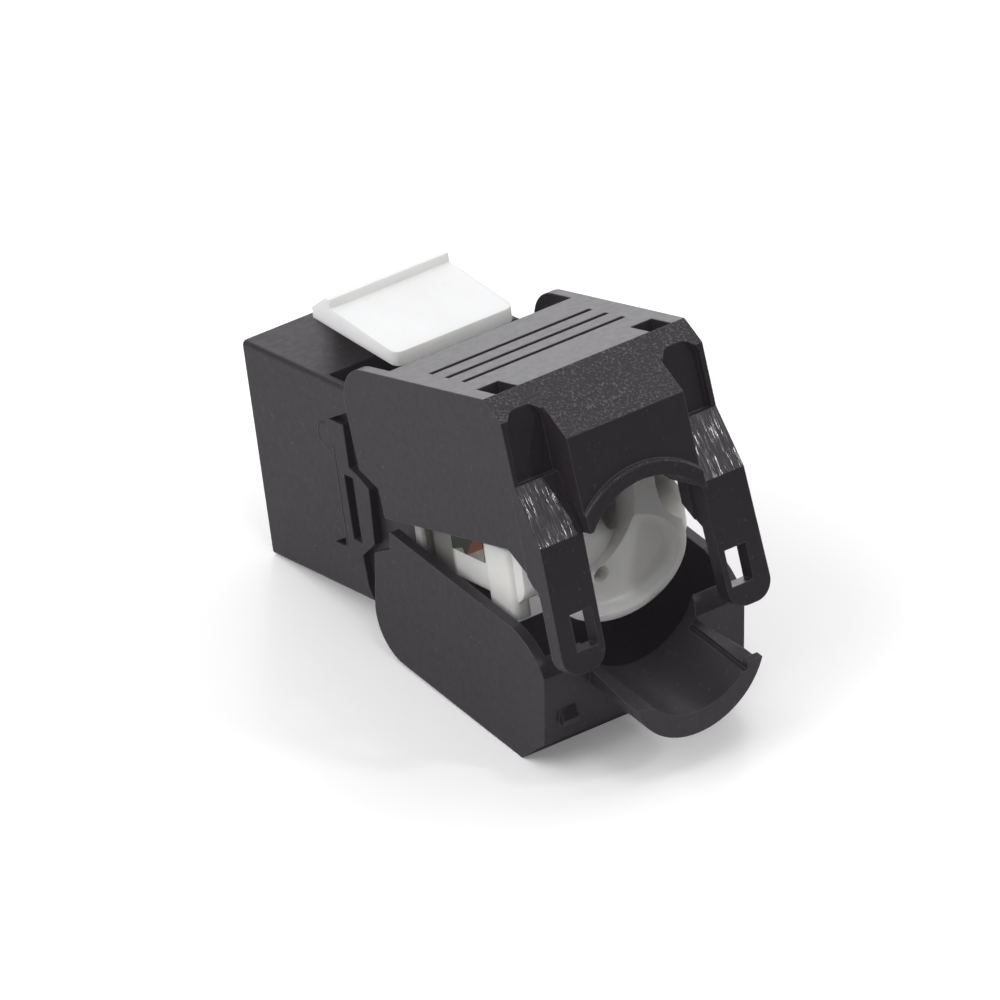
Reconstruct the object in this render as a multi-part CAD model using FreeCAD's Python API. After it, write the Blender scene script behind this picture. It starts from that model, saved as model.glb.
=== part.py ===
import FreeCAD, Part
import math
import os

from FreeCAD import Vector

# A tool-less keystone jack with its two rear jaws part open. Millimetres.
# The origin is the middle of the front face. +Y runs from the front face to the rear, +Z is the latch side.

# Front housing
face_width = 14.8
face_height = 16.2
housing_depth = 12.4
housing_wall = 0.6
housing_edge = 0.35
pit_length = 2.8
pit_depth = 1.9
cheek_length = 5.4
cheek_height = 14.0
cheek_wall = 1.0
cheek_inset = 0.05

# Port for the plug
port_width = 11.8
port_height = 6.7
port_ceiling = 4.4
port_rear_wall = 2.2
tab_slot_width = 6.4
tab_slot_height = 1.5
tab_key_width = 3.4
tab_key_height = 1.3
port_bevel = 0.5

# Panel seat between the catches and the stops
seat_front = 8.1
seat_gap = 1.7
hook_width = 8.0
hook_height = 1.25
hook_ramp = 1.6
hook_crest = 0.8
stop_height = 0.9
stop_length = 1.6

# Side tongue of the housing and its window
tongue_reach = 1.2
tongue_top = 1.5
tongue_bottom = -4.1
tongue_slant = 0.7
tongue_gap = 0.95
tongue_lean = 0.25
upper_gap_height = 4.8
upper_gap_lip = 1.25
upper_gap_run = 1.7
lower_gap_length = 0.75
lower_gap_drop = 0.6
lower_gap_height = 2.3
lower_gap_taper = 0.2
notch_front = 8.4
notch_length = 1.35
notch_height = 0.7
notch_drop = 0.9
window_front = 10.7
window_length = 1.3
window_top = 1.15
window_height = 4.85
window_lean = 0.1

# Latch
latch_width = 10.0
latch_root_width = 3.6
latch_flare_start = 3.0
latch_flare_end = 5.75
latch_pivot_y = 1.35
latch_pivot_depth = 0.6
latch_bead = 0.5
latch_play = 0.1
latch_swing_room = 0.5
latch_tail_y = 15.6
latch_tail_z = 9.65
latch_tail_thickness = 1.05
latch_corner = 0.7
latch_ridge_rise = 0.65
latch_ridge_crest = 0.5
latch_lever_thickness = 1.3
latch_slope = 0.1
latch_root_rise = 0.3
latch_underside = 0.45
latch_bend = 0.6

# Contacts, carrier and circuit board
contact_count = 8
contact_pitch = 1.02
contact_wire = 0.42
contact_bend = 0.8
contact_front = 3.3
contact_rear = 9.4
contact_droop = 20.0
carrier_width = 10.0
carrier_front = 3.9
carrier_thickness = 1.1
comb_width = 11.2
comb_thickness = 1.7
comb_height = 9.0
comb_slot_depth = 0.9
comb_slot_width = 0.6
comb_slot_top = 1.0
comb_slot_height = 6.0
comb_play = 0.1
carrier_post = 0.6
post_foot = 0.4
board_width = 11.4
board_height = 12.0
board_thickness = 1.2

# Insulation displacement block and its forks
block_height = 12.4
block_edge = 0.5
fork_pitch = 2.8
fork_row = 4.4
fork_width = 2.0
fork_thickness = 0.4
fork_slot = 0.35
fork_slot_depth = 2.6
fork_root = 3.2
fork_reach = 3.4

# Wire manager
manager_play = 0.8
manager_height = 12.6
flange_thickness = 1.2
comb_recess = 0.6
manager_comb_length = 3.4
web_top = 1.3
web_bottom = -3.2
web_end = 30.6
web_round = 1.6
pocket_clearance = 0.25
wire_slot = 0.9
wire_channel = 0.55
wire_slot_start = 0.4
wire_hole = 0.8
wire_hole_depth = 2.5
web_hole_place = (-1.1, 0.6)
dish_hole = 0.6
dish_hole_place = (1.0, -2.6)
cup_end = 32.1
cup_length = 2.2
cup_half_width = 5.65
cup_depth = 4.1
cup_middle_z = -1.7
cup_rim = 0.6
stem_near = -1.7
stem_far = -3.75
stem_top = 5.6
stem_foot_far = 1.8
stem_foot_near = 3.0
near_sweep = (2.9, 2.6, 4.9)
far_sweep = (-7.1, 2.3, 3.3)
dish_depth = 0.65
dish_tilt_deg = 10.0
dish_round = 1.0
cheek_wall_gap = 0.2
cheek_wall_length = 3.2
cheek_wall_top = 0.8
cheek_wall_bottom = -4.4
cheek_wall_thickness = 1.4
cheek_wall_proud = 0.3
cheek_wall_round = 0.5
label_length = 3.8
label_top = 0.9
label_height = 2.0
label_thickness = 0.1

# Both jaws, drawn closed
jaw_half_width = 8.4
jaw_half_height = 10.75
jaw_wall = 0.8
jaw_roof = 1.1
jaw_front = 14.1
jaw_roof_front = 19.6
jaw_parting = 0.44
jaw_parting_gap = 0.6
pivot_y = 15.5
pivot_z = 5.0
pin_radius = 1.0
pin_clearance = 0.05
pin_tip_gap = 0.1

# Upper jaw
upper_open_deg = 8.1
upper_rear = 33.8
upper_rear_wall = 1.2
upper_step_y = 16.05
upper_lobe_low = 3.1
upper_lobe_step = 2.0
upper_lobe_round = 3.1
bevel_start = 32.2
hood_half_width = 4.85
hood_rear = 35.9
hood_foot = 7.25
hood_wall = 1.1
hood_skirt = 0.6
arch_radius = 5.85
arch_drop = 3.2
arch_rim = 1.1
arch_rim_proud = 0.35
arch_rim_round = 0.25
recess_depth = 0.5
recess_edge = 0.35
recess_round_share = 0.4
arm_rear = 35.5
arm_thickness = 1.25
arm_bottom = -8.85
arm_round_share = 0.4
arm_splay = 0.3
arm_ramp_top = 4.65
arm_ramp_bottom = 0.5
arm_corner_y = 31.2
arm_corner_z = -2.35
arm_gusset = 0.5
catch_inset = 0.73
catch_window_width = 1.78
catch_window_top = -4.6
catch_window_height = 2.65
groove_count = 3
groove_pitch = 2.0
groove_first = 23.3
groove_half_length = 6.7
groove_width = 0.5
groove_depth = 0.3
core_hole_inner = 5.5
core_hole_outer = 7.3
core_hole_front = 29.8
rib_thickness = 0.8
rib_height = 1.0
rib_place = 3.2

# Lower jaw
lower_open_deg = 12.3
lower_rear = 34.0
lower_rear_wall = 1.0
lower_step_y = 16.2
lower_lobe_step = 2.15
lower_lobe_low = 3.35
lower_lobe_front = 14.45
lower_lobe_round = 3.3
lower_heel = 2.5
lower_lip_start = 30.3
lower_lip_drop = 2.2
lower_lip_middle = (2.3, 0.85)
lug_width = 1.3
lug_height = 1.2
lug_reach = 0.5
lug_land = 0.35
lug_gap = 0.25
trough_end = 40.2
trough_outer = 5.45
trough_outer_z = -1.75
trough_inner = 4.95
trough_inner_z = -0.45
trough_play = 0.25
trough_flare = 5.4
near_rim = 3.7
near_rim_high = -3.3
near_rim_low = -3.74
far_rim = 4.05
far_rim_top = -3.45
far_lip_length = 0.6
far_lip_height = 0.35

# Values that follow from the driving sizes
face_half = face_width / 2
face_top = face_height / 2
wall_inside = face_half - housing_wall
cheek_outer = wall_inside - cheek_inset
cheek_inner = cheek_outer - cheek_wall
cheek_end = housing_depth + cheek_length
comb_end = cheek_end + flange_thickness + manager_comb_length
label_end = comb_end + label_length
port_floor = port_ceiling - port_height
port_depth = housing_depth - port_rear_wall
board_rear = housing_depth + board_thickness
jaw_inside = jaw_half_width - jaw_wall
jaw_ceiling = jaw_half_height - jaw_roof
upper_edge = jaw_parting_gap / 2 - jaw_parting
lower_edge = -jaw_parting_gap / 2 - jaw_parting
bevel_slope = (jaw_half_height - hood_foot) / (hood_rear - bevel_start)
bevel_foot = jaw_half_height - bevel_slope * (upper_rear - bevel_start)
arm_front = arm_rear - arm_thickness
catch_inner = hood_half_width + catch_inset
catch_outer = catch_inner + catch_window_width
catch_middle = (catch_inner + catch_outer) / 2
latch_pivot_z = face_top - latch_pivot_depth
manager_half = jaw_inside - manager_play
overshoot = 5.0
sink = 0.2


def span(half):
    """The limits of something centred on the middle plane."""
    return (-half, half)


def slab(x, y, z):
    """A box between a low and a high limit on each axis."""
    return Part.makeBox(x[1] - x[0], y[1] - y[0], z[1] - z[0], Vector(x[0], y[0], z[0]))


def outline(steps, place):
    """A closed wire. A step is a corner (u, v), or an arc given by its middle and its end."""
    at = place(*steps[0])
    edges = []
    for step in steps[1:] + steps[:1]:
        if isinstance(step[0], tuple):
            end = place(*step[1])
            edges.append(Part.Arc(at, place(*step[0]), end).toShape())
        else:
            end = place(*step)
            edges.append(Part.LineSegment(at, end).toShape())
        at = end
    return Part.Wire(edges)


def side_prism(steps, x):
    """A side outline of (y, z) steps, drawn out between two limits of x."""
    wire = outline(steps, lambda y, z: Vector(x[0], y, z))
    return Part.Face(wire).extrude(Vector(x[1] - x[0], 0, 0))


def end_prism(steps, y):
    """An end outline of (x, z) steps, drawn out between two limits of y."""
    wire = outline(steps, lambda x, z: Vector(x, y[0], z))
    return Part.Face(wire).extrude(Vector(0, y[1] - y[0], 0))


def plan_prism(steps, z):
    """A plan outline of (x, y) steps, drawn out between two limits of z."""
    wire = outline(steps, lambda x, y: Vector(x, y, z[0]))
    return Part.Face(wire).extrude(Vector(0, 0, z[1] - z[0]))


def bar_along_y(radius, y, x=0.0, z=0.0):
    """A round bar along the length of the jack."""
    return Part.makeCylinder(radius, y[1] - y[0], Vector(x, y[0], z), Vector(0, 1, 0))


def bar_across(radius, x, y, z):
    """A round bar across the jack."""
    return Part.makeCylinder(radius, x[1] - x[0], Vector(x[0], y, z), Vector(1, 0, 0))


def both_sides(shape):
    """The shape and its mirror image in the middle plane."""
    return shape.fuse(shape.mirror(Vector(0, 0, 0), Vector(1, 0, 0)))


def joined(shapes):
    """The shapes fused into one, without the seams between them."""
    return shapes[0].multiFuse(shapes[1:]).removeSplitter()


def arc_middle(centre, radius, degrees):
    """The point of a circle at an angle from the first axis of its outline."""
    angle = math.radians(degrees)
    return (centre[0] + radius * math.cos(angle), centre[1] + radius * math.sin(angle))


def edges_along(shape, direction):
    """The straight edges of a shape that run along a direction."""
    found = []
    for edge in shape.Edges:
        if isinstance(edge.Curve, Part.Line) and abs(edge.Curve.Direction.dot(direction)) > 0.999:
            found.append(edge)
    return found


def housing_block():
    """The outer box with eased long edges, and the keystone hook and stops below it."""
    block = slab(span(face_half), (0, housing_depth), span(face_top))
    block = block.makeFillet(housing_edge, edges_along(block, Vector(0, 1, 0)))
    foot = -face_top
    hook_start = seat_front - hook_crest - hook_ramp
    sunk = foot + housing_wall
    hook_outline = [(hook_start, sunk), (hook_start, foot), (seat_front - hook_crest, foot - hook_height),
                    (seat_front, foot - hook_height), (seat_front, sunk)]
    hook = side_prism(hook_outline, span(hook_width / 2))
    stop_start = seat_front + seat_gap
    stop = slab(span(hook_width / 2), (stop_start, stop_start + stop_length), (foot - stop_height, sunk))
    return joined([block, hook, stop])


def port_room():
    """The stepped room that takes the plug and its tab, with a bevelled mouth."""
    steps = [(port_width, port_floor, port_ceiling),
             (tab_slot_width, port_floor - tab_slot_height, port_floor),
             (tab_key_width, port_floor - tab_slot_height - tab_key_height, port_floor)]
    rooms = [slab(span(width / 2), (-overshoot, port_depth), (low, high)) for width, low, high in steps]
    half = port_width / 2
    wide = half + port_bevel
    mouth = [(-wide, -port_bevel), (wide, -port_bevel), (half, port_bevel), (-half, port_bevel)]
    rooms.append(plan_prism(mouth, (port_floor, port_ceiling)))
    return rooms


def tongue_cuts():
    """The gaps and the window that set the side tongue free, cut through the side wall."""
    x = (wall_inside, face_half + overshoot)
    rear = housing_depth + overshoot
    edge = housing_depth - tongue_gap
    gap_top = tongue_top + upper_gap_height
    gap_lip = gap_top - upper_gap_lip
    upper_gap = [(rear, tongue_top), (housing_depth, tongue_top), (edge, tongue_top + tongue_slant / 2),
                 (edge, gap_lip), (edge - upper_gap_run, gap_lip), (housing_depth, gap_top), (rear, gap_top)]
    low_edge = housing_depth - lower_gap_length
    low_top = tongue_bottom - lower_gap_drop
    lower_gap = [(rear, tongue_bottom), (housing_depth, tongue_bottom), (low_edge, low_top),
                 (low_edge + lower_gap_taper, low_top - lower_gap_height), (housing_depth, -face_top),
                 (rear, -face_top)]
    window_low = window_top - window_height
    window_rear = window_front + window_length
    window = [(window_front, window_top), (window_rear, window_top), (window_rear, window_low - window_lean),
              (window_front + window_lean, window_low)]
    notch_low = window_low - notch_drop
    notch = [(notch_front, notch_low), (notch_front + notch_length, notch_low + notch_height),
             (notch_front + notch_length, notch_low)]
    return [both_sides(side_prism(shape, x)) for shape in (upper_gap, lower_gap, window, notch)]


def housing_tongue():
    """The part of the side tongue that stands behind the housing."""
    end = housing_depth + tongue_reach
    start = housing_depth - housing_wall
    steps = [(start, tongue_top), (housing_depth, tongue_top), (end, tongue_top - tongue_slant),
             (end - tongue_lean, tongue_bottom + tongue_slant), (housing_depth, tongue_bottom),
             (start, tongue_bottom)]
    return both_sides(side_prism(steps, (wall_inside, face_half)))


def housing_cheeks():
    """The two cheeks behind the housing, each with a bearing hole for either jaw."""
    half = cheek_height / 2
    turn = half - pivot_z
    low, high = (cheek_end - turn, -pivot_z), (cheek_end - turn, pivot_z)
    start = housing_depth - pit_length
    steps = [(start, -half), (low[0], -half), (arc_middle(low, turn, -45), (cheek_end, low[1])),
             (cheek_end, high[1]), (arc_middle(high, turn, 45), (high[0], half)), (start, half)]
    cheek = side_prism(steps, (cheek_inner, cheek_outer + cheek_inset))
    shaved = slab((cheek_outer, face_half), (housing_depth, cheek_end + overshoot), span(face_top))
    cheek = cheek.cut(shaved)
    for z in (-pivot_z, pivot_z):
        cheek = cheek.cut(bar_across(pin_radius + pin_clearance, (0, face_half), pivot_y, z))
    return both_sides(cheek)


def front_housing():
    """The moulded front of the jack, with the port, the latch pocket and the jaws' bearings."""
    rear_room = slab(span(cheek_inner), (port_depth, housing_depth + overshoot),
                     span(cheek_height / 2 - cheek_wall))
    carrier_room = slab(span(carrier_width / 2), (carrier_front, housing_depth),
                        (port_ceiling - sink, port_ceiling + carrier_thickness))
    pit = slab(span(wall_inside), (housing_depth - pit_length, housing_depth + overshoot),
               (face_top - pit_depth, face_top + overshoot))
    pocket = slab(span(latch_root_width / 2 + latch_play),
                  (latch_pivot_y - latch_bead - latch_play, latch_pivot_y + latch_bead + latch_swing_room),
                  (latch_pivot_z - latch_bead - latch_play, face_top + overshoot))
    cuts = port_room() + tongue_cuts() + [rear_room, carrier_room, pit, pocket]
    body = housing_block().cut(Part.Compound(cuts))
    return joined([body, housing_tongue(), housing_cheeks().cut(Part.Compound([rear_room, pit]))])


def keystone_latch():
    """The sprung lever on top: a bead in the pocket, a flared lever, the catch ridge and the tail."""
    lever_low = latch_tail_z + (latch_tail_y - latch_flare_end) * latch_slope
    ridge_foot = lever_low + latch_lever_thickness
    ridge_top = ridge_foot + latch_ridge_rise
    front, neck = latch_pivot_y - latch_bead, latch_pivot_y + latch_bead
    profile = [(front, latch_pivot_z), (front, face_top + latch_root_rise),
               (seat_front - latch_ridge_crest, ridge_top), (seat_front, ridge_top), (seat_front, ridge_foot),
               (latch_tail_y, latch_tail_z + latch_tail_thickness), (latch_tail_y, latch_tail_z),
               (latch_flare_end, lever_low), (neck + latch_bend, face_top + latch_underside),
               (neck, face_top + latch_play), (neck, latch_pivot_z)]
    lever = side_prism(profile, span(latch_width / 2))
    half, root = latch_width / 2, latch_root_width / 2
    inset = half - latch_corner
    turn = latch_tail_y - latch_corner
    plan = [(root, 0), (root, latch_flare_start), (half, latch_flare_end), (half, turn),
            (arc_middle((inset, turn), latch_corner, 45), (inset, latch_tail_y)), (-inset, latch_tail_y),
            (arc_middle((-inset, turn), latch_corner, 135), (-half, turn)),
            (-half, latch_flare_end), (-root, latch_flare_start), (-root, 0)]
    lever = lever.common(plan_prism(plan, (0, face_height)))
    bead = bar_across(latch_bead, span(root), latch_pivot_y, latch_pivot_z)
    return joined([lever, bead])


def contact_carrier():
    """The insert that holds the plug contacts: a ceiling plate and a slotted comb behind the port."""
    rear = housing_depth
    comb_front = rear - comb_thickness
    gap = port_ceiling - contact_wire
    edge = carrier_width / 2
    plate = slab(span(edge), (carrier_front, rear), (port_ceiling, port_ceiling + carrier_thickness))
    comb = slab(span(comb_width / 2), (comb_front, rear), (gap - comb_height, gap - comb_play))
    post = slab((edge - carrier_post, edge), (comb_front, rear), (gap - post_foot, port_ceiling + sink))
    slot_top = gap - comb_slot_top
    slots = []
    for x in contact_places():
        slots.append(slab((x - comb_slot_width / 2, x + comb_slot_width / 2),
                          (comb_front - overshoot, comb_front + comb_slot_depth),
                          (slot_top - comb_slot_height, slot_top)))
    return joined([plate, comb, both_sides(post)]).cut(Part.Compound(slots))


def contact_places():
    """The contacts' places across the port."""
    first = -contact_pitch * (contact_count - 1) / 2
    return [first + number * contact_pitch for number in range(contact_count)]


def plug_contact(x):
    """A spring strip that runs forward below the ceiling and bends back down into the port."""
    half = contact_wire / 2
    centre = (contact_front + contact_bend, port_ceiling - half - contact_bend)
    turn = 270 - contact_droop
    slope = math.radians(contact_droop)
    run = (contact_rear - arc_middle(centre, contact_bend, turn)[0]) / math.cos(slope)
    sides = []
    for radius in (contact_bend + half, contact_bend - half):
        leave = arc_middle(centre, radius, turn)
        end = (leave[0] + run * math.cos(slope), leave[1] - run * math.sin(slope))
        sides.append((centre[1] + radius, arc_middle(centre, radius, (90 + turn) / 2), leave, end))
    (top, over, outer_leave, outer_end), (low, under, inner_leave, inner_end) = sides
    steps = [(housing_depth, top), (centre[0], top), (over, outer_leave), outer_end, inner_end, inner_leave,
             (under, (centre[0], low)), (housing_depth, low)]
    return side_prism(steps, (x - half, x + half))


def circuit_board():
    """The small upright board that joins the plug contacts to the forks."""
    return slab(span(board_width / 2), (housing_depth, board_rear), span(board_height / 2))


def fork_places():
    """The forks' places: a row above and a row below the middle, four in each."""
    return [(fork_pitch * (column - 1.5), row * fork_row) for row in (1, -1) for column in range(4)]


def fork(x, z):
    """A flat contact whose slotted end cuts into a wire's insulation."""
    half, slot = fork_width / 2, fork_slot / 2
    tip = cheek_end + fork_reach
    lead = (fork_width - fork_slot) / 4
    root = cheek_end - fork_root
    plan = [(x - half, root), (x - half, tip), (x - slot - lead, tip), (x - slot, tip - 2 * lead),
            (x - slot, tip - fork_slot_depth), (x + slot, tip - fork_slot_depth), (x + slot, tip - 2 * lead),
            (x + slot + lead, tip), (x + half, tip), (x + half, root)]
    return plan_prism(plan, (z - fork_thickness / 2, z + fork_thickness / 2))


def idc_block():
    """The block behind the board that holds the forks in slots."""
    block = slab(span(cheek_inner - cheek_inset), (board_rear, cheek_end), span(block_height / 2))
    block = block.makeFillet(block_edge, edges_along(block, Vector(0, 1, 0)))
    slots = []
    for x, z in fork_places():
        slots.append(slab((x - fork_width / 2, x + fork_width / 2), (cheek_end - fork_root, cheek_end),
                          (z - fork_thickness / 2, z + fork_thickness / 2)))
    return block.cut(Part.Compound(slots))


def manager_front():
    """The flange and comb of the wire manager, with a pocket and a wire slot for each fork."""
    comb_start = cheek_end + flange_thickness
    half_height = manager_height / 2
    flange = slab(span(manager_half), (cheek_end, comb_start), span(half_height))
    comb = slab(span(manager_half - comb_recess), (comb_start, comb_end), span(half_height))
    body = joined([flange, comb])
    body = body.makeFillet(comb_recess / 2, edges_along(body, Vector(0, 1, 0)))
    cuts = []
    for x, z in fork_places():
        reach = fork_width / 2 + pocket_clearance
        lift = fork_thickness / 2 + pocket_clearance
        cuts.append(slab((x - reach, x + reach), (cheek_end, cheek_end + fork_reach + pocket_clearance),
                         (z - lift, z + lift)))
        outward = (z, half_height + overshoot) if z > 0 else (-half_height - overshoot, z)
        slot_y = comb_start + wire_slot_start
        cuts.append(slab((x - wire_slot / 2, x + wire_slot / 2), (slot_y, slot_y + wire_slot), outward))
    return body.cut(Part.Compound(cuts))


def manager_web():
    """The flat web behind the comb, with channels for the wires on both faces and a hole in its rear."""
    web = slab(span(manager_half), (comb_end - sink, web_end), (web_bottom, web_top))
    rear_edges = [edge for edge in edges_along(web, Vector(1, 0, 0)) if edge.CenterOfMass.y > comb_end]
    web = web.makeFillet(web_round, rear_edges)
    cuts = []
    for x, z in fork_places():
        face = web_top if z > 0 else web_bottom
        cuts.append(bar_along_y(wire_channel, (comb_end, web_end + overshoot), x, face))
    cuts.append(bar_along_y(wire_hole, (web_end - wire_hole_depth, web_end + overshoot), *web_hole_place))
    return web.cut(Part.Compound(cuts))


def oval_bar(half_width, half_height, length):
    """An oval bar from the origin along the length of the jack."""
    ellipse = Part.Ellipse(Vector(0, 0, 0), half_width, half_height)
    ellipse.rotate(FreeCAD.Placement(Vector(0, 0, 0), Vector(1, 0, 0), 90))
    return Part.Face(Part.Wire([ellipse.toShape()])).extrude(Vector(0, length, 0))


def cup_dish():
    """The hollow of the cup: an oval with a soft bottom edge, tilted so that it is deepest below."""
    dish = oval_bar(cup_half_width - cup_rim, cup_depth - cup_rim, overshoot)
    bottom = [edge for edge in dish.Edges if edge.BoundBox.YMax < sink]
    dish = dish.makeFillet(dish_round, bottom)
    dish.rotate(Vector(0, 0, 0), Vector(1, 0, 0), -dish_tilt_deg)
    dish.translate(Vector(0, cup_end - dish_depth, cup_middle_z))
    return dish


def manager_cup():
    """The dished end of the wire manager: a half-oval cradle that sweeps up into a narrow stem."""
    y = (cup_end - cup_length, cup_end)
    through = (y[0] - overshoot, y[1] + overshoot)
    oval = oval_bar(cup_half_width, cup_depth, cup_length)
    oval.translate(Vector(0, y[0], cup_middle_z))
    stem = slab((stem_far - stem_foot_far, stem_near + stem_foot_near), y, (cup_middle_z, stem_top))
    cradle = joined([oval, stem])
    cuts = [bar_along_y(r, through, x, z) for x, z, r in (near_sweep, far_sweep)]
    cuts.append(slab((stem_near, face_half), through, (near_sweep[1], face_height)))
    cuts.append(slab((-face_half, stem_far), through, (far_sweep[1], face_height)))
    cuts.append(bar_along_y(dish_hole, through, *dish_hole_place))
    return cradle.cut(Part.Compound(cuts)).cut(cup_dish())


def wire_manager():
    """The white insert that spreads the wires onto the forks."""
    outer = manager_half + cheek_wall_proud
    front = label_end + cheek_wall_gap
    wall = slab((outer - cheek_wall_thickness, outer), (front, front + cheek_wall_length),
                (cheek_wall_bottom, cheek_wall_top))
    wall = wall.makeFillet(cheek_wall_round, edges_along(wall, Vector(0, 0, 1)))
    return joined([manager_front(), manager_web(), manager_cup(), wall])


def colour_label(side):
    """The colour-code label on one side of the wire manager."""
    x = (manager_half, manager_half + label_thickness)
    if side < 0:
        x = (-x[1], -x[0])
    return slab(x, (comb_end, label_end), (label_top - label_height, label_top))


def jaw_pin(z):
    """The pivot pins that stand inward from both side walls of a jaw."""
    x = (cheek_inner + pin_tip_gap, jaw_inside + jaw_wall / 2)
    return both_sides(bar_across(pin_radius, x, pivot_y, z))


def upper_shell():
    """The upper jaw's side walls, roof and rear wall, open below and in front."""
    turn = (jaw_front + upper_lobe_round, jaw_half_height - upper_lobe_round)
    steps = [(upper_step_y, upper_edge), (upper_step_y, upper_lobe_step), (jaw_front, upper_lobe_low),
             (jaw_front, turn[1]), (arc_middle(turn, upper_lobe_round, 135), (turn[0], jaw_half_height)),
             (bevel_start, jaw_half_height), (upper_rear, bevel_foot), (upper_rear, arm_corner_z),
             (arm_corner_y, upper_edge)]
    body = side_prism(steps, span(jaw_half_width))
    inner_rear = upper_rear - upper_rear_wall
    inside = slab(span(jaw_inside), (jaw_front - overshoot, inner_rear), (-jaw_half_height, jaw_ceiling))
    front = slab(span(jaw_inside), (jaw_front - overshoot, jaw_roof_front), (-jaw_half_height, face_height))
    middle = slab(span(hood_half_width), (inner_rear - sink, hood_rear), (-jaw_half_height, jaw_ceiling))
    return body.cut(Part.Compound([inside, front, middle]))


def upper_hood():
    """The hood over the cable entry: a bevelled box, hollow inside, with a rimmed arch."""
    foot = upper_edge + hood_skirt
    steps = [(bevel_start, jaw_half_height), (hood_rear, hood_foot), (hood_rear, foot), (bevel_start, foot)]
    hood = side_prism(steps, span(hood_half_width))
    rim = bar_along_y(arch_radius + arch_rim, (hood_rear - sink, hood_rear + arch_rim_proud), 0, -arch_drop)
    rim_edge = [edge for edge in rim.Edges if edge.CenterOfMass.y > hood_rear and edge.Closed]
    rim = rim.makeFillet(arch_rim_round, rim_edge)
    rim = rim.common(slab(span(hood_half_width), (bevel_start, trough_end), (foot, jaw_half_height)))
    shift = hood_wall * math.sqrt(1 + bevel_slope ** 2) / bevel_slope
    front, rear = bevel_start - hood_wall, hood_rear - hood_wall
    inner = [(front, jaw_ceiling), (bevel_start + jaw_roof / bevel_slope - shift, jaw_ceiling),
             (rear, jaw_half_height - bevel_slope * (rear + shift - bevel_start)), (rear, foot - hood_wall),
             (front, foot - hood_wall)]
    room = side_prism(inner, span(hood_half_width - hood_wall))
    arch = bar_along_y(arch_radius, (front, hood_rear + overshoot), 0, -arch_drop)
    return joined([hood, rim]).cut(Part.Compound([room, arch]))


def rear_recesses():
    """The shallow hollows with rounded tops in the rear wall, between the hood and the side walls."""
    floor = upper_rear - recess_depth
    top = jaw_half_height - bevel_slope * (floor - bevel_start)
    near, far = hood_half_width, jaw_half_width - recess_edge
    recess_round = recess_round_share * (far - near)
    shoulder = top - recess_round
    steps = [(near, arm_ramp_top), (near, shoulder),
             (arc_middle((near + recess_round, shoulder), recess_round, 135), (near + recess_round, top)),
             (far - recess_round, top),
             (arc_middle((far - recess_round, shoulder), recess_round, 45), (far, shoulder)),
             (far, arm_ramp_top)]
    return both_sides(end_prism(steps, (floor, hood_rear)))


def upper_arm():
    """Both side arms: a ramp out of the rear wall, then a strap that leans outward, with the catch window."""
    root = upper_rear - upper_rear_wall / 2
    through = (root - overshoot, arm_rear + overshoot)
    steps = [(root, arm_ramp_top), (upper_rear, arm_ramp_top), (arm_rear, arm_ramp_bottom),
             (arm_rear, arm_bottom), (arm_front, arm_bottom), (arm_front, arm_corner_z - arm_gusset),
             (upper_rear - sink, arm_corner_z), (root, arm_corner_z + upper_rear_wall / 2)]
    near, far = hood_half_width, jaw_half_width
    arm = side_prism(steps, (near, far + arm_splay))
    arm_round = arm_round_share * (far - near)
    low = arm_bottom + arm_round
    near_turn, far_turn = near + arm_splay + arm_round, far + arm_splay - arm_round
    front_view = [(near, face_height), (near, arm_ramp_top), (near + arm_splay, low),
                  (arc_middle((near_turn, low), arm_round, 225), (near_turn, arm_bottom)),
                  (far_turn, arm_bottom),
                  (arc_middle((far_turn, low), arm_round, 315), (far + arm_splay, low)),
                  (far, arm_ramp_top), (far, face_height)]
    arm = arm.common(end_prism(front_view, through))
    window = slab((catch_inner, catch_outer), through,
                  (catch_window_top - catch_window_height, catch_window_top))
    return both_sides(arm.cut(window))


def roof_cuts():
    """The finger grooves across the roof and the two core holes at its rear corners."""
    cuts = []
    for number in range(groove_count):
        y = groove_first + number * groove_pitch
        cuts.append(slab(span(groove_half_length), (y - groove_width / 2, y + groove_width / 2),
                         (jaw_half_height - groove_depth, face_height)))
    hole = slab((core_hole_inner, core_hole_outer), (core_hole_front, bevel_start),
                (jaw_ceiling - sink, face_height))
    cuts.append(both_sides(hole))
    return Part.Compound(cuts)


def upper_ribs():
    """Two stiffening ribs under the roof."""
    rib = slab((rib_place - rib_thickness / 2, rib_place + rib_thickness / 2), (jaw_roof_front, bevel_start),
               (jaw_ceiling - rib_height, jaw_ceiling + sink))
    return both_sides(rib)


def upper_jaw():
    """The upper rear cover, drawn closed and then turned open about its pivot."""
    shell = upper_shell().cut(rear_recesses())
    shell = joined([shell, upper_hood(), upper_arm(), upper_ribs(), jaw_pin(pivot_z)])
    jaw = shell.cut(roof_cuts())
    jaw.rotate(Vector(0, pivot_y, pivot_z), Vector(1, 0, 0), upper_open_deg)
    return jaw


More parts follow.
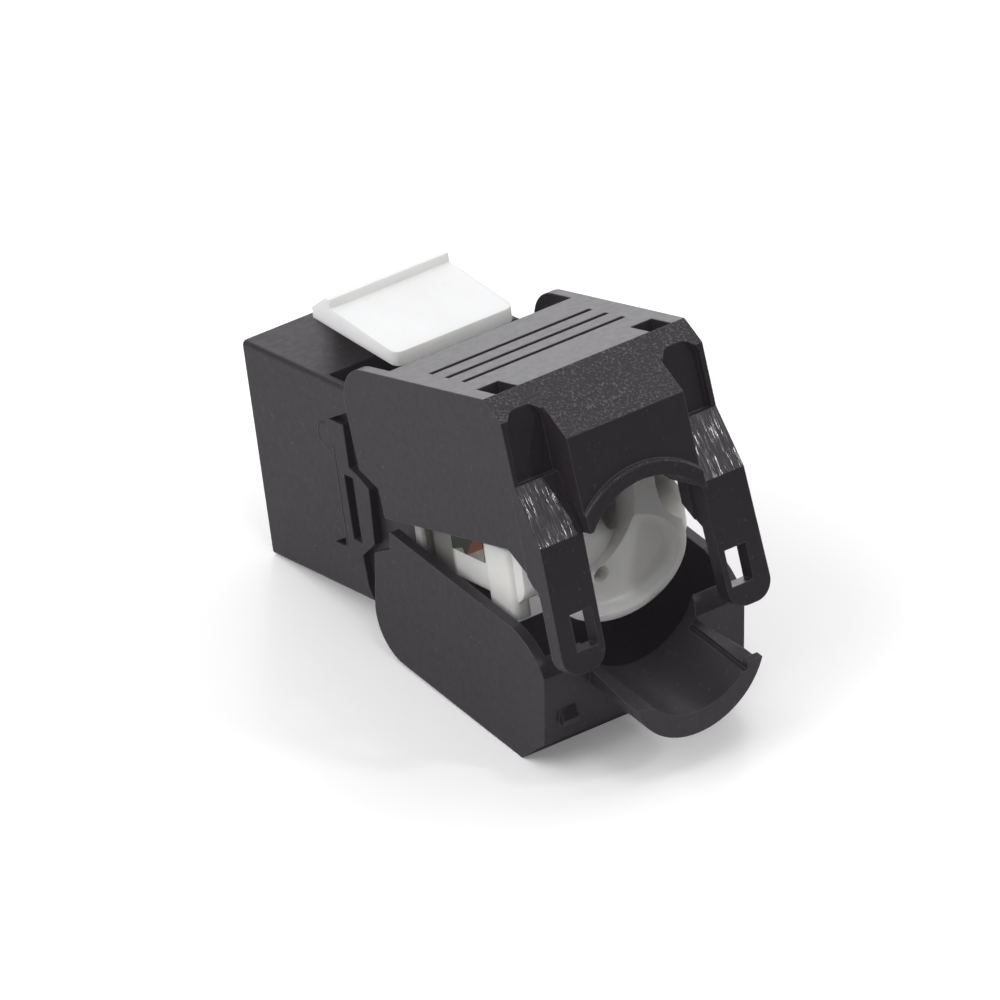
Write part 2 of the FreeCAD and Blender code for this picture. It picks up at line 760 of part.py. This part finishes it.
def lower_shell():
    """The lower jaw's side walls, floor and rear wall, open above and in front."""
    foot = -jaw_half_height
    turn = (lower_lobe_front + lower_lobe_round, foot + lower_lobe_round)
    run, drop = lower_lip_middle
    steps = [(lower_step_y, lower_edge), (lower_step_y, -lower_lobe_step),
             (lower_lobe_front, -lower_lobe_low), (lower_lobe_front, turn[1]),
             (arc_middle(turn, lower_lobe_round, 225), (turn[0], foot)),
             (lower_rear - lower_heel, foot), (lower_rear, foot + lower_heel),
             (lower_rear, lower_edge - lower_lip_drop),
             ((lower_lip_start + run, lower_edge - drop), (lower_lip_start, lower_edge))]
    body = side_prism(steps, span(jaw_half_width))
    inner_rear = lower_rear - lower_rear_wall
    heel_line = lower_rear - lower_heel + jaw_half_height - lower_rear_wall * math.sqrt(2)
    front = lower_lobe_front - overshoot
    room = [(front, jaw_half_height), (front, -jaw_ceiling), (heel_line - jaw_ceiling, -jaw_ceiling),
            (inner_rear, inner_rear - heel_line), (inner_rear, jaw_half_height)]
    inside = side_prism(room, span(jaw_inside))
    open_front = slab(span(jaw_inside), (front, jaw_roof_front), (-face_height, jaw_half_height))
    return body.cut(Part.Compound([inside, open_front]))


def above_trough(far_top, y):
    """All that is open above the cable's tongue. The far rim stands higher than the near one."""
    steps = [(-face_half, jaw_half_height), (-face_half, far_top), (-far_rim, far_top),
             (-far_rim, near_rim_low), (near_rim, near_rim_low), (trough_flare, near_rim_high),
             (face_half, near_rim_high), (face_half, jaw_half_height)]
    return end_prism(steps, y)


def cable_trough():
    """The cable's tongue: a flared crescent behind the rear wall, with a lip at the end of its far rim."""
    y = (lower_rear - lower_rear_wall, trough_end)
    tongue = bar_along_y(trough_outer, y, 0, trough_outer_z)
    lip_start = trough_end - far_lip_length
    root = hood_half_width - trough_play
    flank = [(root, y[0]), (root, lower_rear), (trough_flare, trough_end), (face_half, trough_end),
             (face_half, y[0])]
    flanks = both_sides(plan_prism(flank, span(jaw_half_height)))
    cuts = [above_trough(far_rim_top, (y[0] - overshoot, lip_start)),
            above_trough(far_rim_top + far_lip_height, (lip_start, trough_end + overshoot)), flanks]
    return tongue.cut(Part.Compound(cuts))


def catch_lugs():
    """The lugs on the rear wall that the arms' windows close over."""
    low = catch_window_top - catch_window_height + lug_gap
    top = low + lug_height
    steps = [(lower_rear - sink, top), (lower_rear, top), (lower_rear + lug_reach, low + lug_land),
             (lower_rear + lug_reach, low), (lower_rear - sink, low)]
    return both_sides(side_prism(steps, (catch_middle - lug_width / 2, catch_middle + lug_width / 2)))


def lower_jaw():
    """The lower rear cover, drawn closed and then turned open about its pivot."""
    through = (lower_rear - lower_rear_wall - overshoot, trough_end + overshoot)
    cable_way = bar_along_y(trough_inner, through, 0, trough_inner_z)
    jaw = joined([lower_shell(), cable_trough(), catch_lugs(), jaw_pin(-pivot_z)]).cut(cable_way)
    jaw.rotate(Vector(0, pivot_y, -pivot_z), Vector(1, 0, 0), -lower_open_deg)
    return jaw


def all_pieces():
    """Every piece of the jack under its own name."""
    pieces = {
        "front_housing": front_housing(),
        "keystone_latch": keystone_latch(),
        "contact_carrier": contact_carrier(),
        "circuit_board": circuit_board(),
        "idc_block": idc_block(),
        "wire_manager": wire_manager(),
        "colour_label_near": colour_label(1),
        "colour_label_far": colour_label(-1),
        "upper_jaw": upper_jaw(),
        "lower_jaw": lower_jaw(),
    }
    for number, x in enumerate(contact_places(), 1):
        pieces[f"plug_contact_{number}"] = plug_contact(x)
    for number, (x, z) in enumerate(fork_places(), 1):
        pieces[f"idc_contact_{number}"] = fork(x, z)
    return pieces


os.makedirs("parts", exist_ok=True)
for name, shape in all_pieces().items():
    shape.exportStep(f"parts/{name}.step")
    print(name, len(shape.Solids), shape.isValid(), round(shape.Volume, 2))
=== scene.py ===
import math

import bpy
from mathutils import Matrix, Vector

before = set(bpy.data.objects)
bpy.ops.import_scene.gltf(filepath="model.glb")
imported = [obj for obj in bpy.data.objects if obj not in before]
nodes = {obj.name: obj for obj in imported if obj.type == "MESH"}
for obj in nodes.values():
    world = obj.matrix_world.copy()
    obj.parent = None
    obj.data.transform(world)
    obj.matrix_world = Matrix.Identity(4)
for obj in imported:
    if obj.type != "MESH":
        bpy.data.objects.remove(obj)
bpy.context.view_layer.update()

MM = 0.001

# The photo's camera, in the row frame
EYE = Vector((0.5274, 0.858724, 0.440955))
FORWARD = Vector((-0.48549, -0.773676, -0.407093))
RIGHT = Vector((-0.80869, 0.574339, -0.1271))
LENS = 574.3
SENSOR = 36.0
CLIP = (0.1, 20.0)

# The studio: levels of the plain sky and of the bright backdrop behind the jack, the share of them that
# is left on the dim side behind the camera, and the share left by a dark flag in front of the jack
SKY_LEVEL = 0.67
BACKDROP = (-0.49, -0.87, 0.1)
BACKDROP_LEVEL = 2.3
BACKDROP_SPREAD = (0.88, 1.0)
DIM_SIDE = (0.0, 1.0, -0.6)
DIM_SHARE = 0.08
DIM_SPREAD = (0.0, 0.5)
DARK_FLAG = (0.41, -0.77, 0.48)
FLAG_SHARE = 0.15
FLAG_SPREAD = (0.86, 0.96)

# The soft boxes: name, direction from the jack, side in metres and power in watts
LAMP_DISTANCE = 0.5
LAMP_TARGET = (0.0, 20 * MM, 0.0)
LAMPS = (
    ("soft_overhead", (-0.48, -0.53, 0.7), 0.35, 0.22),
    ("soft_rear", (-0.48, 0.73, 0.48), 0.045, 0.32),
    ("key_side", (0.75, -0.1, 0.65), 0.45, 1.25),
    ("high_rear", (0.1, 0.5, 0.87), 0.12, 0.25),
    ("far_side", (-0.85, 0.25, 0.45), 0.3, 0.35),
)

# The table: its half side in metres, how far it lies below the jack, its tones, and the distances from
# the port between which its own brightness rises to that of the white background
TABLE_HALF = 2.0
TABLE_GAP = 0.02 * MM
TABLE_TONE = (0.74, 0.74, 0.742, 1.0)
TABLE_CLOUD = (0.725, 0.725, 0.728, 1.0)
TABLE_SEEN = (0.99, 0.99, 0.993, 1.0)
# Past these distances towards the camera's side the table is dark to every ray but the camera's: a painted
# shade for the studio's dim side
TABLE_PAINTED_DARK = (0.2, 0.2, 0.2, 1.0)
TABLE_PAINTED_DARK_START, TABLE_PAINTED_DARK_END = 0.045, 0.11
GLOW_START, GLOW_END = 0.03, 0.09
GLOW_NEAR, GLOW_FAR = 0.16, 0.4

# The upper cover's opening at rest, for the materials that follow its faces
UPPER_OPEN = math.radians(8.1)

# Black plastic
BLACK = (0.015, 0.0127, 0.0154, 1.0)
GREYED = (0.0172, 0.0147, 0.0176, 1.0)
WORN = (0.096, 0.09, 0.1, 1.0)
# Pale colour for the specks on the leathery grain: painted highlight glints
PAINTED_GLINT = (0.3, 0.293, 0.3, 1.0)
BLACK_TINT = (1.0, 0.95, 1.0, 1.0)
# A faint purple-tinted emission on every black piece: a painted glow that lifts the darkest blacks, as lens
# veil would
PAINTED_GLOW = 0.0082
PAINTED_GLOW_TINT = (1.0, 0.84, 1.0, 1.0)
BLACK_EDGE = 0.12 * MM
EDGE_WEAR = 0.6
HOUSING_WEAR = 0.15
ROOF_SHEEN = 0.12
MATT_TOP = 0.1
RUB_SHEEN = 0.36
# Heights on the arm ramps between which the rub marks fade out, in mm
RUB_TOP, RUB_FULL = 7.6, 6.0

# The lines on the housing's side walls, in mm: places along the jack and upwards
ARC_CENTRE = (9.15, 3.6)
ARC_RADIUS = 0.98
RIDGE_PLACE, RIDGE_MIDDLE = 9.86, -0.7
RIDGE_FADE = (3.9, 3.7)
LINE_HALF = 0.1 * MM

# White plastic
LATCH_TINT, LATCH_SHADE = (0.89, 0.89, 0.89, 1.0), (0.86, 0.86, 0.86, 1.0)
MANAGER_TINT, MANAGER_SHADE = (0.93, 0.92, 0.9, 1.0), (0.89, 0.88, 0.85, 1.0)
BLOCK_TINT, BLOCK_SHADE = (0.62, 0.62, 0.61, 1.0), (0.55, 0.55, 0.54, 1.0)
GRIME = (0.35, 0.32, 0.28, 1.0)
WHITE_EDGE = 0.1 * MM
GLOW_DEPTH = 1.5 * MM
# Where the wire manager's comb starts and ends along the jack, in mm, and the darker grey painted over that
# stretch
COMB = (18.6, 22.4, (0.4, 0.39, 0.375, 1.0))
COMB_BLUR = 0.25 * MM

# The label: its card, its printed tones, and the slanted lines between them as a place and a slope, in mm
CARD, CARD_SHADE = (0.27, 0.25, 0.225, 1.0), (0.19, 0.176, 0.16, 1.0)
BOTTLE_GREEN = (0.026, 0.045, 0.029, 1.0)
RUST = (0.16, 0.038, 0.019, 1.0)
PRINT_DARK = (0.032, 0.029, 0.027, 1.0)
LOW_LINE = (22.36, -2.06, 0.52)
STEEP_LINE = (23.48, -0.23, -2.26)
RISING_LINE = (24.9, 0.03, 1.39)
FIRST_LINE = (21.67, -1.44, 0.37)
PRINT_BLUR = 0.05 * MM

# Metals and the board
GOLD, GOLD_SHADE = (0.83, 0.62, 0.25, 1.0), (0.7, 0.5, 0.2, 1.0)
TIN, TIN_SHADE = (0.66, 0.66, 0.64, 1.0), (0.5, 0.5, 0.49, 1.0)
MASK_GREEN, MASK_LIGHT = (0.018, 0.13, 0.05, 1.0), (0.03, 0.19, 0.08, 1.0)


def turned(y, z, angle):
    """A direction in the side view, turned open with its cover."""
    return (0.0, y * math.cos(angle) - z * math.sin(angle), y * math.sin(angle) + z * math.cos(angle))


class Nodes:
    """A material's node tree with short calls for what this scene uses."""

    def __init__(self, name):
        self.material = bpy.data.materials.new(name)
        self.material.use_nodes = True
        self.tree = self.material.node_tree
        self.tree.nodes.clear()
        self.out = self.tree.nodes.new("ShaderNodeOutputMaterial")
        self.place = self.tree.nodes.new("ShaderNodeTexCoord")

    def give(self, socket, value):
        """A value or a link for an input."""
        if isinstance(value, bpy.types.NodeSocket):
            self.tree.links.new(value, socket)
        else:
            socket.default_value = value

    def add(self, kind, **inputs):
        """A node of a kind, with values or links for its inputs and plain values for its settings."""
        node = self.tree.nodes.new(kind)
        for key, value in inputs.items():
            name = key.replace("_", " ")
            if name in node.inputs:
                self.give(node.inputs[name], value)
            else:
                setattr(node, key, value)
        return node

    def math(self, operation, a, b=0.0):
        """The result of one operation on two values or links."""
        node = self.add("ShaderNodeMath", operation=operation)
        self.give(node.inputs[0], a)
        self.give(node.inputs[1], b)
        return node.outputs[0]

    def times(self, a, b):
        """The product of two values or links."""
        return self.math("MULTIPLY", a, b)

    def less(self, a, b):
        """The difference of two values or links."""
        return self.math("SUBTRACT", a, b)

    def vector(self, operation, *values):
        """A node for one operation on vectors."""
        node = self.add("ShaderNodeVectorMath", operation=operation)
        for socket, value in zip(node.inputs, values):
            self.give(socket, value)
        return node

    def stretched(self, scale):
        """Object coordinates scaled by three factors."""
        return self.add("ShaderNodeMapping", Vector=self.place.outputs["Object"], Scale=scale).outputs["Vector"]

    def noise(self, scale, detail=2.0, roughness=0.5, vector=None):
        """The value of a noise in object coordinates. Its scale is in cycles per metre."""
        node = self.add("ShaderNodeTexNoise", Scale=scale, Detail=detail, Roughness=roughness,
                        Vector=vector or self.place.outputs["Object"])
        return node.outputs["Fac"]

    def ramp(self, value, low, high, start=0.0, end=1.0):
        """A value mapped smoothly from one range to another and kept inside it."""
        node = self.add("ShaderNodeMapRange", interpolation_type="SMOOTHSTEP", Value=value,
                        From_Min=low, From_Max=high, To_Min=start, To_Max=end)
        return node.outputs["Result"]

    def mix(self, factor, a, b):
        """Two colours mixed by a value or link."""
        node = self.add("ShaderNodeMix", data_type="RGBA")
        for index, value in ((0, factor), (6, a), (7, b)):
            self.give(node.inputs[index], value)
        return node.outputs[2]

    def facing(self, direction, low, high):
        """One where the surface faces a direction of the row frame, zero elsewhere."""
        dot = self.vector("DOT_PRODUCT", self.place.outputs["Normal"], direction)
        return self.ramp(dot.outputs["Value"], low, high)

    def axis(self, index):
        """One of the three object coordinates."""
        node = self.add("ShaderNodeSeparateXYZ")
        self.give(node.inputs[0], self.place.outputs["Object"])
        return node.outputs[index]

    def soft_edges(self, radius):
        """The normal with every edge eased by a small radius."""
        return self.add("ShaderNodeBevel", Radius=radius, samples=6).outputs["Normal"]

    def worn_edges(self, radius):
        """One on the edges, zero on the faces."""
        geometry = self.add("ShaderNodeNewGeometry")
        dot = self.vector("DOT_PRODUCT", self.soft_edges(radius), geometry.outputs["Normal"])
        return self.ramp(dot.outputs["Value"], 0.995, 0.9)

    def bump(self, height, strength, distance, normal=None):
        """The normal disturbed by a height."""
        node = self.add("ShaderNodeBump", Strength=strength, Distance=distance, Height=height)
        if normal is not None:
            self.give(node.inputs["Normal"], normal)
        return node.outputs["Normal"]

    def join(self, kind, *shaders):
        """Shaders joined by an adding or a mixing node, whose mixing value comes first."""
        node = self.add(kind)
        for socket, value in zip(node.inputs, shaders):
            self.give(socket, value)
        return node.outputs[0]

    def end(self, shader):
        """The material, ended by a shader."""
        self.tree.links.new(shader, self.out.inputs["Surface"])
        return self.material

    def finish(self, **inputs):
        """The material, ended by a principled shader."""
        return self.end(self.add("ShaderNodeBsdfPrincipled", **inputs).outputs[0])


def side_lines(n):
    """The faint lines moulded on the housing's side walls: an arc by the upper notch, and a ridge below it."""
    along, up = n.axis(1), n.axis(2)
    off_y, off_z = (n.less(value, centre * MM) for value, centre in zip((along, up), ARC_CENTRE))
    reach = n.math("SQRT", n.math("ADD", n.times(off_y, off_y), n.times(off_z, off_z)))
    ring = n.ramp(n.math("ABSOLUTE", n.less(reach, ARC_RADIUS * MM)), LINE_HALF, 0.0)
    arc = n.times(ring, n.ramp(off_y, 0.1 * MM, -0.3 * MM))
    off_middle = n.math("ABSOLUTE", n.less(up, RIDGE_MIDDLE * MM))
    middle = n.ramp(off_middle, RIDGE_FADE[0] * MM, RIDGE_FADE[1] * MM)
    off_ridge = n.math("ABSOLUTE", n.less(along, RIDGE_PLACE * MM))
    ridge = n.times(n.ramp(off_ridge, LINE_HALF, 0.0), middle)
    return n.math("MAXIMUM", arc, ridge)


def black_plastic(name, coarse=None, scuffed=None, roof=None, matt=None, wear=EDGE_WEAR, relief=False):
    """Moulded black plastic: a fine spark-eroded grain, cloudy tone, edges rubbed a little paler, and a faint
    painted glow that lifts its darkest parts. coarse, scuffed, roof and matt are directions of faces with a
    leathery grain sprinkled with painted highlight glints, rub marks, a smooth sheen and a dull one. wear is
    how far the edges are rubbed, and relief adds the side walls' lines."""
    n = Nodes(name)
    cloud = n.noise(140.0, 3.0, 0.6)
    fine = n.noise(5200.0, 2.0, 0.6)
    speck = n.ramp(n.noise(2600.0, 1.0), 0.66, 0.8)
    colour = n.mix(n.ramp(cloud, 0.35, 0.7), BLACK, GREYED)
    colour = n.mix(n.times(speck, 0.35), colour, WORN)
    colour = n.mix(n.times(n.worn_edges(BLACK_EDGE), wear), colour, WORN)
    rough = n.ramp(n.noise(1800.0, 3.0), 0.3, 0.7, 0.42, 0.48)
    normal = n.bump(fine, 0.35, 0.02 * MM, n.soft_edges(BLACK_EDGE))
    if coarse:
        where = n.facing(coarse, 0.93, 0.97)
        leather = n.noise(5600.0, 3.0, 0.6)
        # The leathery faces get pale specks mixed into their colour, stronger in patches: painted highlight
        # glints
        glint_patches = n.ramp(n.noise(300.0, 3.0), 0.35, 0.65, 0.55, 1.0)
        painted_glint = n.times(n.times(where, glint_patches), n.ramp(leather, 0.5, 0.68))
        colour = n.mix(n.times(painted_glint, 0.4), colour, PAINTED_GLINT)
        normal = n.bump(n.times(leather, where), 1.0, 0.2 * MM, normal)
    if matt:
        rough = n.math("ADD", rough, n.times(n.facing(matt, 0.97, 0.99), MATT_TOP))
    if relief:
        normal = n.bump(side_lines(n), 1.0, 0.1 * MM, normal)
    if roof:
        rough = n.less(rough, n.times(n.facing(roof, 0.97, 0.99), ROOF_SHEEN))
    if scuffed:
        where = n.facing(scuffed, 0.96, 0.985)
        streaks = n.noise(1.0, 1.5, 0.5, n.stretched((8200.0, 620.0, 620.0)))
        low_down = n.ramp(n.axis(2), RUB_TOP * MM, RUB_FULL * MM, 0.15, 1.0)
        patch = n.times(n.ramp(n.noise(520.0, 2.0), 0.32, 0.5, 0.3, 1.0), low_down)
        rub = n.times(n.times(where, patch), n.ramp(streaks, 0.5, 0.62))
        rough = n.less(rough, n.times(rub, RUB_SHEEN))
        normal = n.bump(n.times(streaks, where), 1.0, 0.03 * MM, normal)
    return n.finish(Base_Color=colour, Roughness=rough, Normal=normal, IOR=1.49, Specular_Tint=BLACK_TINT,
                    Emission_Color=PAINTED_GLOW_TINT, Emission_Strength=PAINTED_GLOW)


def white_plastic(name, tint, shade, rough_low, rough_high, depth, grey_band=None):
    """White plastic with faint flow marks, a soft glow through its edges and a little grime.
    Its last argument is a stretch along the jack that is painted a darker grey, and that grey."""
    n = Nodes(name)
    flow = n.noise(1.0, 4.0, 0.6, n.stretched((420.0, 120.0, 300.0)))
    grime = n.ramp(n.noise(900.0, 5.0, 0.7), 0.6, 0.8)
    colour = n.mix(n.ramp(flow, 0.3, 0.7), tint, shade)
    if grey_band:
        # A stretch along the jack painted a darker grey over the white
        low, high, grey_tone = grey_band
        middle, half = (low + high) / 2 * MM, (high - low) / 2 * MM
        off = n.math("ABSOLUTE", n.less(n.axis(1), middle))
        colour = n.mix(n.ramp(off, half + COMB_BLUR, half - COMB_BLUR), colour, grey_tone)
    colour = n.mix(n.times(grime, 0.12), colour, GRIME)
    rough = n.ramp(n.noise(700.0, 3.0), 0.3, 0.7, rough_low, rough_high)
    normal = n.bump(n.noise(3800.0, 2.0), 0.2, 0.01 * MM, n.soft_edges(WHITE_EDGE))
    return n.finish(Base_Color=colour, Roughness=rough, Normal=normal, IOR=1.49, Subsurface_Weight=depth,
                    Subsurface_Radius=(1.0, 0.9, 0.8), Subsurface_Scale=GLOW_DEPTH)


def colour_marks(name, low_tone, high_tone):
    """The label: a dull card with slanted printed patches for the wire colours, dark between them."""
    n = Nodes(name)
    along, up = n.axis(1), n.axis(2)
    edge = n.times(n.less(n.noise(2600.0, 3.0), 0.5), 0.2 * MM)

    def above(line):
        """One above a slanted line on the label."""
        y, z, slope = line
        height = n.math("ADD", n.times(along, slope), (z - slope * y) * MM)
        return n.ramp(n.math("ADD", n.less(up, height), edge), -PRINT_BLUR, PRINT_BLUR)

    beyond = above(STEEP_LINE)
    first = n.times(above(FIRST_LINE), n.less(1.0, beyond))
    second = n.times(above(LOW_LINE), beyond)
    colour = n.mix(n.ramp(n.noise(1500.0, 4.0), 0.4, 0.7), CARD, CARD_SHADE)
    colour = n.mix(second, colour, low_tone)
    colour = n.mix(n.times(second, above(RISING_LINE)), colour, PRINT_DARK)
    colour = n.mix(first, colour, high_tone)
    normal = n.bump(n.noise(5000.0, 2.0), 0.3, 0.01 * MM)
    return n.finish(Base_Color=colour, Roughness=0.5, Normal=normal, IOR=1.5)


def metal(name, tint, shade, rough):
    """Plated metal with drawing marks along the jack and a faint tarnish."""
    n = Nodes(name)
    drawn = n.noise(1.0, 3.0, 0.6, n.stretched((9000.0, 400.0, 9000.0)))
    colour = n.mix(n.ramp(n.noise(1200.0, 3.0), 0.45, 0.7), tint, shade)
    roughness = n.ramp(drawn, 0.3, 0.7, rough, rough + 0.15)
    normal = n.bump(drawn, 0.2, 0.005 * MM)
    return n.finish(Base_Color=colour, Roughness=roughness, Normal=normal, Metallic=1.0)


def board(name):
    """Green solder mask over a faint weave."""
    n = Nodes(name)
    weave = n.noise(1.0, 1.0, 0.5, n.stretched((2600.0, 2600.0, 700.0)))
    colour = n.mix(n.ramp(weave, 0.35, 0.65), MASK_GREEN, MASK_LIGHT)
    normal = n.bump(weave, 0.2, 0.01 * MM)
    return n.finish(Base_Color=colour, Roughness=0.35, Normal=normal, IOR=1.5)


def dress(name, material):
    """Gives a carried-over solid its material."""
    mesh = nodes[name].data
    for index in range(max(1, len(mesh.materials))):
        if index < len(mesh.materials):
            mesh.materials[index] = material
        else:
            mesh.materials.append(material)


def dress_all():
    """Gives every piece its material."""
    bevel = turned(0.687, 0.726, UPPER_OPEN)
    ramp = turned(0.926, 0.378, UPPER_OPEN)
    roof = turned(0.0, 1.0, UPPER_OPEN)
    dress("front_housing", black_plastic("housing_black", matt=(0.0, 0.0, 1.0), wear=HOUSING_WEAR, relief=True))
    dress("upper_jaw", black_plastic("upper_black", bevel, ramp, roof))
    dress("lower_jaw", black_plastic("lower_black"))
    dress("contact_carrier", black_plastic("carrier_black"))
    dress("keystone_latch", white_plastic("latch_white", LATCH_TINT, LATCH_SHADE, 0.4, 0.5, 0.6))
    dress("wire_manager", white_plastic("manager_white", MANAGER_TINT, MANAGER_SHADE, 0.28, 0.42, 0.5, COMB))
    dress("idc_block", white_plastic("block_grey", BLOCK_TINT, BLOCK_SHADE, 0.4, 0.5, 0.0))
    dress("circuit_board", board("board_green"))
    dress("colour_label_near", colour_marks("label_near", RUST, BOTTLE_GREEN))
    dress("colour_label_far", colour_marks("label_far", BOTTLE_GREEN, RUST))
    gold = metal("contact_gold", GOLD, GOLD_SHADE, 0.2)
    tin = metal("fork_tin", TIN, TIN_SHADE, 0.3)
    for number in range(1, 9):
        dress("plug_contact_%d" % number, gold)
        dress("idc_contact_%d" % number, tin)


def floor_frame():
    """The floor's place and its directions up and along: it touches the housing's front bottom edge and
    the lower cover."""
    front_edge = (v.co for v in nodes["front_housing"].data.vertices if v.co.y < 0.1 * MM)
    front = min(front_edge, key=lambda p: p.z)
    rear = min((v.co for v in nodes["lower_jaw"].data.vertices), key=lambda p: p.z)
    along = Vector((0.0, rear.y - front.y, rear.z - front.z)).normalized()
    return front.copy(), Vector((0.0, -along.z, along.y)), along


def table_white():
    """Glossy white, with a glow towards the background that only the camera sees, a painted dark stretch behind
    the jack that only light rays meet, and seen through from below so that it hides nothing in low views."""
    n = Nodes("table_white")
    seen = n.add("ShaderNodeLightPath").outputs["Is Camera Ray"]
    tone = n.mix(n.ramp(n.noise(9.0, 3.0), 0.35, 0.7), TABLE_TONE, TABLE_CLOUD)
    # Painted shade: behind the jack the table turns dark for all but camera rays
    far = n.times(n.ramp(n.axis(1), TABLE_PAINTED_DARK_START, TABLE_PAINTED_DARK_END), n.less(1.0, seen))
    tone = n.mix(far, tone, TABLE_PAINTED_DARK)
    tone = n.mix(seen, tone, TABLE_SEEN)
    gloss = n.add("ShaderNodeBsdfPrincipled", Base_Color=tone, Roughness=0.22, IOR=1.35)
    away = n.vector("LENGTH", n.place.outputs["Object"]).outputs["Value"]
    level = n.ramp(away, GLOW_START, GLOW_END, GLOW_NEAR, GLOW_FAR)
    glow = n.add("ShaderNodeEmission", Strength=n.times(seen, level))
    bright = n.join("ShaderNodeAddShader", gloss.outputs[0], glow.outputs[0])
    clear = n.add("ShaderNodeBsdfTransparent").outputs[0]
    under = n.add("ShaderNodeNewGeometry").outputs["Backfacing"]
    return n.end(n.join("ShaderNodeMixShader", under, bright, clear))


def make_floor():
    """A pale glossy table under the jack."""
    point, up, along = floor_frame()
    across = Vector((1.0, 0.0, 0.0))
    corners = [point + (across * a + along * b) * TABLE_HALF - up * TABLE_GAP
               for a, b in ((-1, -1), (1, -1), (1, 1), (-1, 1))]
    mesh = bpy.data.meshes.new("table_top")
    mesh.from_pydata([tuple(c) for c in corners], [], [(0, 1, 2, 3)])
    table = bpy.data.objects.new("table_top", mesh)
    bpy.context.scene.collection.objects.link(table)
    mesh.materials.append(table_white())


def make_world():
    """A pale studio: white to the eye; as light, a plain sky with a bright backdrop, a dim side behind the
    camera and a dark flag in front of the jack."""
    world = bpy.data.worlds.new("studio")
    bpy.context.scene.world = world
    world.use_nodes = True
    tree = world.node_tree
    tree.nodes.clear()
    out = tree.nodes.new("ShaderNodeOutputWorld")
    white, lit = tree.nodes.new("ShaderNodeBackground"), tree.nodes.new("ShaderNodeBackground")
    for shader in (white, lit):
        shader.inputs["Color"].default_value = (1.0, 1.0, 1.0, 1.0)
    place = tree.nodes.new("ShaderNodeTexCoord")

    def toward(direction, spread, start, end):
        """A level that changes smoothly as the view turns towards a direction."""
        dot = tree.nodes.new("ShaderNodeVectorMath")
        dot.operation = "DOT_PRODUCT"
        tree.links.new(place.outputs["Generated"], dot.inputs[0])
        dot.inputs[1].default_value = direction
        level = tree.nodes.new("ShaderNodeMapRange")
        level.interpolation_type = "SMOOTHSTEP"
        tree.links.new(dot.outputs["Value"], level.inputs["Value"])
        for name, value in zip(("From Min", "From Max", "To Min", "To Max"), (*spread, start, end)):
            level.inputs[name].default_value = value
        return level.outputs["Result"]

    def product(a, b):
        """The product of two links."""
        node = tree.nodes.new("ShaderNodeMath")
        node.operation = "MULTIPLY"
        tree.links.new(a, node.inputs[0])
        tree.links.new(b, node.inputs[1])
        return node.outputs[0]

    sky = toward(BACKDROP, BACKDROP_SPREAD, SKY_LEVEL, BACKDROP_LEVEL)
    dimmed = product(sky, toward(DIM_SIDE, DIM_SPREAD, 1.0, DIM_SHARE))
    flagged = product(dimmed, toward(DARK_FLAG, FLAG_SPREAD, 1.0, FLAG_SHARE))
    tree.links.new(flagged, lit.inputs["Strength"])
    path = tree.nodes.new("ShaderNodeLightPath")
    both = tree.nodes.new("ShaderNodeMixShader")
    tree.links.new(path.outputs["Is Camera Ray"], both.inputs[0])
    tree.links.new(lit.outputs[0], both.inputs[1])
    tree.links.new(white.outputs[0], both.inputs[2])
    tree.links.new(both.outputs[0], out.inputs["Surface"])


def make_lamp(name, direction, size, power):
    """A square soft box that looks at the jack's middle."""
    data = bpy.data.lights.new(name, "AREA")
    data.size = size
    data.energy = power
    lamp = bpy.data.objects.new(name, data)
    target = Vector(LAMP_TARGET)
    lamp.location = target + Vector(direction).normalized() * LAMP_DISTANCE
    lamp.rotation_mode = "QUATERNION"
    lamp.rotation_quaternion = (target - lamp.location).to_track_quat("-Z", "Y")
    bpy.context.scene.collection.objects.link(lamp)


def make_camera():
    """The camera that sees the jack as the photo does."""
    data = bpy.data.cameras.new("camera")
    data.lens = LENS
    data.sensor_width = SENSOR
    data.clip_start, data.clip_end = CLIP
    camera = bpy.data.objects.new("camera", data)
    up = RIGHT.cross(FORWARD)
    turn = Matrix((RIGHT, up, -FORWARD)).transposed()
    camera.matrix_world = Matrix.Translation(EYE) @ turn.to_4x4()
    bpy.context.scene.collection.objects.link(camera)
    bpy.context.scene.camera = camera


dress_all()
make_floor()
make_world()
for lamp in LAMPS:
    make_lamp(*lamp)
make_camera()
bpy.context.scene.view_settings.view_transform = "Standard"
